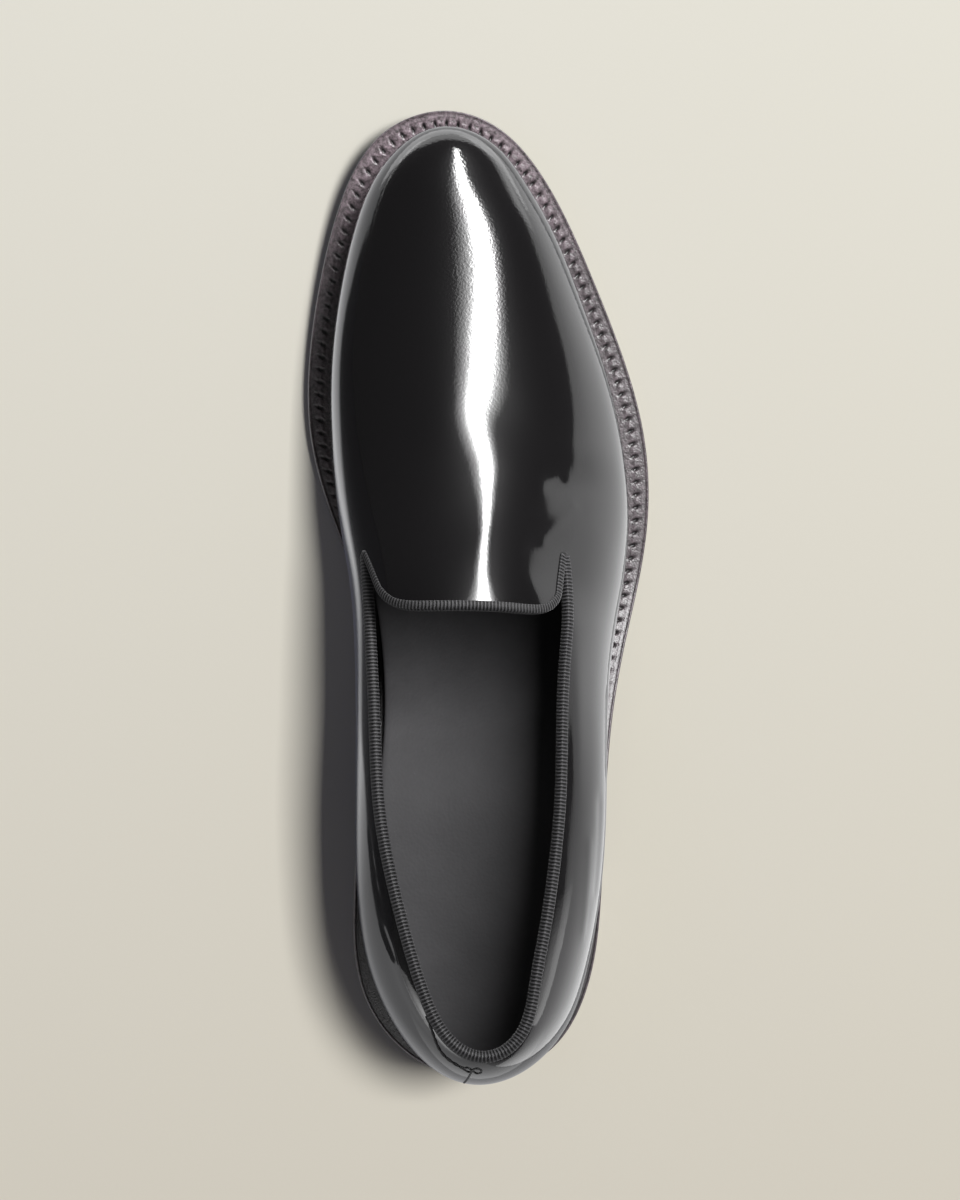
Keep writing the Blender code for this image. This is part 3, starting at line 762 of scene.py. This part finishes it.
# Sole and heel
soleLook = {
    "aroundSteps": 480,
    "heelSteps": 120,
    "breastSteps": 30,
    "liftRows": 70,  # rows of points up the heel's side
    "lift": 4.6,  # mm, height of a lift
    "liftDepth": 0.16,  # mm, groove between two lifts
    "liftWide": 0.22,
    "topPiece": 6.0,  # mm, its height, and how much deeper the groove above it is
    "topPieceDeep": 2.4,
    "heelInset": 2.1,  # mm at the floor, less by the taper at the top
    "heelTaper": 1.6,
    "heelEdge": ((0.0, 0.25, 0.7), (0.7, 0.25, 0.0)),  # heights and insets of the rounded lower edge
}
# inset from the edge, height above the underside, share kept of the way out from the middle line
outsoleProfile = ((1.6, 0.0, 0.0), (1.6, 0.0, 0.5), (1.6, 0.0, 0.96), (1.4, 0.0, 1.0), (0.7, 0.35, 1.0),
                  (0.25, 1.1, 1.0), (0.0, 2.3, 1.0), (0.0, 4.0, 1.0), (0.12, 4.6, 1.0), (0.45, 5.0, 1.0),
                  (3.0, 5.0, 1.0), (3.0, 5.0, 0.0))
insoleProfile = ((0.6, 0.0, 0.0), (0.6, 0.0, 1.0), (0.6, 2.8, 1.0), (0.0, 3.1, 1.0), (0.0, 4.6, 1.0),
                 (0.25, 5.0, 1.0), (0.8, 5.2, 1.0), (0.8, 5.25, 0.96), (0.8, 5.0, 0.88), (0.8, 4.6, 0.72),
                 (0.8, 4.35, 0.5), (0.8, 4.3, 0.25), (0.8, 4.3, 0.0))


def soleBody(name, line, profile, base, inset, finish):
    # loops around an outline at each inset and height, drawn in to the middle line by the share kept
    count = soleLook["aroundSteps"]
    around = np.arange(count) / count
    loops = []
    for inward, above, keep in profile:
        edge = planLine(line, around, inset + inward)
        centre = (edge + edge[-np.arange(count)]) / 2
        plan = centre + (edge - centre) * keep
        loops.append(np.column_stack((plan, underside(plan[:, 1]) + base + above)))
    points = np.array(loops)
    return addPiece(name, points, quads(gridIndex(points), True), (finish,), merge=True)


def makeHeel():
    # loops of the heel end of the sole closed across the breast, inset by height, with a groove at each lift
    lateral = np.interp(last["heelBreast"], planLine("sole", halfway)[:, 1], halfway)
    medial = np.interp(last["heelBreast"], planLine("sole", 1 - halfway)[:, 1], halfway)
    look, top = soleLook, last["heelHeight"] - last["gap"]
    rise = np.linspace(1.2, top - 0.8, look["liftRows"])
    heights = np.concatenate(([0.0, 0.0], look["heelEdge"][0], rise, [top - 0.3, top, top]))
    keep = np.ones(len(heights))
    keep[[0, 1, -1]] = 0.0, 0.97, 0.0
    inset = look["heelInset"] - look["heelTaper"] * heights / top + np.interp(heights, *look["heelEdge"])
    for groove in np.arange(look["topPiece"], top - 2, look["lift"]):
        deep = look["topPieceDeep"] if groove == look["topPiece"] else 1.0
        inset += look["liftDepth"] * deep * np.exp(-((heights - groove) / look["liftWide"]) ** 2)
    loops = []
    for z, inward, share in zip(heights, inset, keep):
        outer = planLine("sole", np.linspace(0, lateral, look["heelSteps"]), inward)
        inner = planLine("sole", np.linspace(1 - medial, 1, look["heelSteps"]), inward)[:-1]
        breast = outer[-1] + (inner[0] - outer[-1]) * np.linspace(0, 1, look["breastSteps"])[1:-1, None]
        loop = np.concatenate((outer, breast, inner))
        centre = np.array([0.0, last["heelBreast"] / 2])
        loop = centre + (loop - centre) * share
        loops.append(np.column_stack((loop, np.full(len(loop), z))))
    points = np.array(loops)
    made = addPiece("heel_stacked", points, quads(gridIndex(points), True), (heelFinish,), merge=True)
    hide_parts("heel")


outsole = soleBody("outsole_edge_dressed", "sole", outsoleProfile, 0.0, 0.0, edgeFinish)
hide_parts("outsole")
insoleBase = last["outsoleThick"] + last["gap"]
insole = soleBody("insole_sock", "feather", insoleProfile, insoleBase, last["wall"], sock)
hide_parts("insole")
makeHeel()
print("sole, insole and heel made")

# The back seam: a stitched line round from the topline, tied in a small bow with a tail down the seam
seamLook = {
    "stitchRadius": 0.50,  # mm, of the thread
    "stitchLong": 2.4,  # mm, from dip to dip
    "bowRadius": 0.34,
    "bowLong": 1.6,
    "dip": 0.45,  # share of the radius that is lost where a stitch dips
    "sides": 8,
    "pointsPerKnot": 40,
}
seamLines = {  # x and s along each thread
    "stitch": ((-18.8, 24.6), (-17.5, 21.6), (-15.5, 15.9), (-12.8, 12.0), (-9.6, 9.7), (-7.3, 8.5)),
    "bow_left": ((-5.0, 8.0), (-6.0, 8.8), (-6.9, 8.9), (-7.4, 8.4), (-6.6, 7.7), (-5.7, 7.5), (-4.9, 8.1)),
    "bow_right": ((-5.1, 8.0), (-4.2, 8.7), (-3.0, 8.6), (-2.2, 7.8), (-2.8, 7.1), (-4.0, 7.2), (-5.0, 8.2)),
    "tail": ((-4.8, 8.2), (-5.4, 6.8), (-6.1, 4.6), (-6.7, 2.6)),
}


def makeThread(name, plan, radius, stitch):
    # round thread along a line on the dome, thinner where each stitch dips into the leather
    plan = np.array(plan)
    fine = np.linspace(0, len(plan) - 1, seamLook["pointsPerKnot"] * len(plan))
    x, s = (splineThrough(np.arange(len(plan)), plan[:, k], fine) for k in range(2))
    path = np.column_stack((x, s, domeHeight(x, s)))
    run = np.concatenate(([0], np.cumsum(norm(np.diff(path, axis=0), axis=1))))
    normal = domeNormal(x, s)
    side = np.cross(unit(np.gradient(path, axis=0)), normal)
    dip = seamLook["dip"]
    swell = radius * (1 - dip + dip * np.sqrt(np.abs(np.sin(np.pi * run / stitch))))
    turn = np.linspace(0, 2 * np.pi, seamLook["sides"], endpoint=False)[:, None, None]
    points = path + (np.cos(turn) * normal + np.sin(turn) * side) * swell[:, None]
    points[:, 0] = path[0]
    points[:, -1] = path[-1]
    piece = addPiece(name, points, quads(gridIndex(points, True)), (threadFinish,), merge=True)


for part, line in seamLines.items():
    kind = "stitch" if part == "stitch" else "bow"
    makeThread("back_seam_" + part, line, seamLook[kind + "Radius"], seamLook[kind + "Long"])
print("back seam made")

# Floor, light and camera
studio = {
    "floor": "#dedbcf",
    "floorNear": "#cbc5b7",  # warmer and darker towards the heel
    "floorInGloss": "#ffffff",  # painted reflection: reflected rays see the paper white and neutral
    "paintedShadeInGloss": "#4a4a4c",  # and painted shade on the medial side, seen only in reflections
    "paintedShadeEdge": (  # y and x along it, its two ends first
        (-0.250, -0.570), (0.650, -1.300), (-0.212, -0.400), (-0.181, -0.300), (-0.135, -0.180),
        (-0.108, -0.132), (-0.074, -0.100), (-0.058, -0.080), (-0.045, -0.059), (-0.030, -0.052),
        (0.0, -0.056), (0.030, -0.070), (0.057, -0.082), (0.099, -0.089), (0.117, -0.110), (0.151, -0.160),
        (0.420, -0.800)),
    "paintedShadeSoft": 0.012,  # m over which its edge turns dark
    "paintedShadeRear": (-0.10, -0.03),  # y over which the next values run out
    "paintedShadeBehind": (-0.24, -0.08, 1.0, 0.35),  # beside the heel, x from, to, and the light left at each
    "underCard": (0.050, 0.062),  # x over which the paper, in reflections only, turns to painted shade under the lateral card
    "paperHalf": 4.0,  # m, half of its side
    "paperFade": (-0.22, 0.20),  # y over which its colour turns
    "fibreScale": 900.0,  # fibres to a metre, and their share in the colour
    "fibreShare": 0.06,
    "fill": 0.085,
    "backdrop": "#dedbcf",  # what the camera sees beyond the paper
}
white, black = "#ffffff", "#000000"
# soft boxes above: middle, size, radiance, tint
boxes = {
    "strip": ((0.62, 1.40, 1.30), (0.95, 2.0), 58.0, white),  # long, ahead and to the right
    "rear": ((0.21, -0.62, 1.30), (0.9, 0.8), 2.0, white),  # behind, reaches into the shoe
    "sock": ((0.60, 0.35, 1.30), (1.0, 1.0), 7.0, white),  # for the inside of the shoe
    "table": ((1.68, 0.45, 6.00), (1.38, 1.38), 68.0, white),  # high, lights the paper alone
    "shade": ((-1.20, 0.00, 2.00), (1.0, 1.0), 0.52, "#95a0ff"),  # cool, tints the shadow on the paper
}
# how the strip's light runs across it and along it
stripFades = (
    ((0.0, black), (1.0, black), (0.10, black), (0.14, "#1e1e1e"), (0.24, "#505050"), (0.33, "#8b8b8b"),
     (0.38, white), (0.62, white), (0.67, "#8b8b8b"), (0.76, "#505050"), (0.86, "#1e1e1e"), (0.90, black)),
    ((0.0, white), (1.0, "#c8c8c8"), (0.35, white), (0.7, white)),
)
stripTaper = 0.20, 0.95, 0.80, 2.1  # along it from, to, and how much narrower at each
# white cards around the shoe: middle of the near edge, direction outward, width, depth, lift of the far
# edge, radiance
cardFloor = 0.002  # m from the paper to the near edge
cards = (
    ("lateral", (0.058, 0.13), (1.0, 0.0), 0.96, 0.70, 0.115, 2.0),
    ("corner", (0.36, 0.50), (0.72, 0.69), 0.44, 0.5, 0.19, 1.4),
    ("toe", (0.0, 0.20), (0.0, 1.0), 0.33, 0.6, 0.20, 2.2),
    ("medial", (-0.165, 0.68), (-1.0, 0.0), 0.56, 0.6, 0.10, 2.2),
    ("heel", (0.0, -0.20), (0.0, -1.0), 0.33, 0.6, 0.02, 0.5),
    ("behind", (-0.372, -0.406), (-0.766, -0.643), 0.52, 0.36, 0.22, 6.5),
    ("quarter", (0.78, -0.29), (1.0, 0.0), 0.34, 0.03, 0.26, 1.9),
)
evenFade = (0.0, white), (1.0, white)
outFade = (0.0, white), (1.0, "#585858"), (0.75, white)
softFade = (0.0, black), (1.0, black), (0.30, white), (0.70, white)
cardFades = {  # ramps along the near edge, then outwards
    "heel": (softFade, outFade),
    "behind": (softFade, softFade),
    "quarter": (((0.0, white), (1.0, black), (0.80, white)),
                ((0.0, white), (1.0, "#303030"), (0.70, white))),
    "lateral": (((0.0, "#aaaaaa"), (1.0, white), (0.12, "#f3f3f3"), (0.26, "#e7e7e7"), (0.335, "#c0c0c0"),
                 (0.41, "#e7e7e7"), (0.48, white)),
                ((0.0, white), (1.0, "#595959"), (0.04, white), (0.10, "#f3f3f3"), (0.18, "#dcdcdc"),
                 (0.30, "#d1d1d1"), (0.60, "#cccccc"), (0.85, "#a1a1a1"))),
}


def addLight(name, place, right, up, size, radiance, fades=None, taper=None):
    # rectangle of even radiance, its power radiance times area times pi; fades are ramps across and along it,
    # and a taper draws the one across it in to the middle line, evenly from one place along it to another
    light = bpy.data.lights.new(name, "AREA")
    light.shape = "RECTANGLE"
    light.size, light.size_y = size
    light.energy = radiance * size[0] * size[1] * math.pi
    if fades:
        light.use_nodes = True
        add = partial(addNode, light.node_tree)
        spot = add("NewGeometry").outputs["Parametric"]
        axes = add("SeparateXYZ", {"Vector": spot})
        x, y = axes.outputs["X"], axes.outputs["Y"]
        if taper:
            start, end, wide, narrow = taper
            scale = add("MapRange", {
                "Value": y, "From Min": start, "From Max": end, "To Min": wide, "To Max": narrow})
            x = add("Math", {0: x, 1: 0.5}, operation="SUBTRACT")
            x = add("Math", {0: x, 1: scale, 2: 0.5}, operation="MULTIPLY_ADD")
        across, along = (add("ValToRGB", {"Fac": v}, fade) for v, fade in zip((x, y), fades))
        across.color_ramp.interpolation = along.color_ramp.interpolation = "B_SPLINE"
        both = add("Math", {0: across, 1: along}, operation="MULTIPLY")
        setInputs(light.node_tree.nodes["Emission"], {"Strength": both})
    lamp = bpy.data.objects.new(name, light)
    right, up = Vector(right).normalized(), Vector(up).normalized()
    turned = Matrix((right, up, right.cross(up))).transposed().to_4x4()
    turned.translation = Vector(place)
    lamp.matrix_world = turned
    lamp.visible_camera = False
    scene.collection.objects.link(lamp)
    return lamp


def softBox(key, *shape):
    # one of the boxes, which all face straight down
    place, size, radiance, tint = boxes[key]
    lamp = addLight(key + "_box", place, (1, 0, 0), (0, 1, 0), size, radiance, *shape)
    lamp.data.color = linear(tint)[:3]
    return lamp


lamps = [softBox("strip", stripFades, stripTaper), softBox("rear")]
for name, near, outward, width, depth, lift, radiance in cards:
    out = Vector((outward[0] * depth, outward[1] * depth, lift))
    sideways = Vector((-outward[1], outward[0], 0))
    place = Vector((near[0], near[1], cardFloor)) + out / 2
    fades = cardFades.get(name, (evenFade, outFade))
    lamps.append(addLight("card_" + name, place, sideways, out, (width, out.length), radiance, fades))


def floorPaper():
    # seamless backdrop paper, uncoated: matt and faintly fibrous, warmer towards the heel; to reflected rays
    # it is painted white, with painted shade past the shade's edge on the medial side and under the lateral
    # card
    look = studio
    matt = {"Roughness": 0.9, "Specular IOR Level": 0.2}
    made, shader, add = startMaterial("backdrop paper, uncoated", matt)
    place = add("TexCoord").outputs["Object"]
    axes = add("SeparateXYZ", {"Vector": place})
    x, y = axes.outputs["X"], axes.outputs["Y"]
    fibre = add("TexNoise", {"Vector": place, "Scale": look["fibreScale"], "Detail": 3.0})
    start, end = look["paperFade"]
    fade = add("MapRange", {"Value": y, "From Min": start, "From Max": end})
    fade = add("Math", {0: fibre, 1: look["fibreShare"], 2: fade}, operation="MULTIPLY_ADD")
    tone = add("ValToRGB", {"Fac": fade}, ((0.0, look["floorNear"]), (1.0, look["floor"])))
    # painted reflection: only camera rays see the paper's colour, all other rays see painted white and
    # painted shade
    camera = add("LightPath").outputs["Is Camera Ray"]
    (first, _), (final, far) = look["paintedShadeEdge"][:2]
    run = add("MapRange", {"Value": y, "From Min": first, "From Max": final})
    edge = add("FloatCurve", {"Value": run})
    curve = edge.mapping.curves[0]
    for k, (ahead, aside) in enumerate(look["paintedShadeEdge"]):
        spot = (ahead - first) / (final - first), aside / far
        if k < 2:
            curve.points[k].location = spot
        else:
            curve.points.new(*spot)
    edge.mapping.update()
    past = add("Math", {0: edge, 1: -far, 2: x}, operation="MULTIPLY_ADD")
    light = add("MapRange", {"Value": past, "From Min": -look["paintedShadeSoft"], "From Max": 0.0})
    start, end, most, least = look["paintedShadeBehind"]
    behind = add("MapRange", {
        "Value": x, "From Min": start, "From Max": end, "To Min": most, "To Max": least})
    start, end = look["paintedShadeRear"]
    rear = add("MapRange", {"Value": y, "From Min": start, "From Max": end, "To Min": behind})
    start, end = look["underCard"]
    carded = add("MapRange", {"Value": x, "From Min": start, "From Max": end, "To Min": 1.0, "To Max": 0.0})
    for more in (rear, carded):
        light = add("Math", {0: light, 1: more}, operation="MULTIPLY")
    stops = (0.0, look["paintedShadeInGloss"]), (1.0, look["floorInGloss"])
    gloss = add("ValToRGB", {"Fac": light}, stops)
    seen = add("Mix", {"Factor": camera, 6: gloss, 7: tone}, data_type="RGBA")
    setInputs(shader, {"Base Color": seen.outputs[2]})
    return made


def receivers(name, pieces):
    # collection of the pieces that a light is for
    made = bpy.data.collections.new(name)
    for piece in pieces:
        made.objects.link(piece)
    return made


shoe = [piece for piece in scene.collection.objects if piece.type == "MESH" and piece != insole]
half = studio["paperHalf"]
corners = [(-half, -half, 0), (half, -half, 0), (half, half, 0), (-half, half, 0)]
floorMesh = bpy.data.meshes.new("floor")
floorMesh.from_pydata(corners, [], [(0, 1, 2, 3)])
floorMesh.materials.append(floorPaper())
floor = bpy.data.objects.new("floor", floorMesh)
scene.collection.objects.link(floor)
paperOnly, sockOnly = receivers("paper_only", [floor]), receivers("sock_only", [insole])
shoeOnly = receivers("shoe_only", shoe)
# the lateral card touches the welt and would bleach it
sideOnly = receivers("side_only", [piece for piece in shoe if piece.name != "welt_stitched"])
for lamp in lamps:
    lamp.light_linking.receiver_collection = sideOnly if lamp.name == "card_lateral" else shoeOnly
for key, only in (("table", paperOnly), ("shade", paperOnly), ("sock", sockOnly)):
    softBox(key).light_linking.receiver_collection = only

world = bpy.data.worlds.new("studio")
world.use_nodes = True
sky = world.node_tree
direct = addNode(sky, "LightPath").outputs["Is Camera Ray"]
fill = [studio["fill"]] * 3 + [1.0]
air = addNode(sky, "Mix", {"Factor": direct, 6: fill, 7: linear(studio["backdrop"])}, data_type="RGBA")
setInputs(sky.nodes["Background"], {"Color": air.outputs[2]})
scene.world = world
scene.view_settings.view_transform = "Standard"

cameraLook = {
    "place": (-0.0626, -0.0017, 1.300),  # above and a little to the medial side
    "aim": (0.0, -0.0025, 0.015),
    "lens": 123.7,  # mm, on a frame of the next height
    "frameHigh": 36.0,
}
camera = bpy.data.objects.new("camera", bpy.data.cameras.new("camera"))
camera.data.sensor_fit = "VERTICAL"
camera.data.sensor_height = cameraLook["frameHigh"]
camera.data.lens = cameraLook["lens"]
ahead = (Vector(cameraLook["aim"]) - Vector(cameraLook["place"])).normalized()
right = ahead.cross(Vector((0, 1, 0))).normalized()
camera.matrix_world = Matrix((right, right.cross(ahead), -ahead)).transposed().to_4x4()
camera.location = cameraLook["place"]
scene.collection.objects.link(camera)
scene.camera = camera
print("floor, lights and camera set")
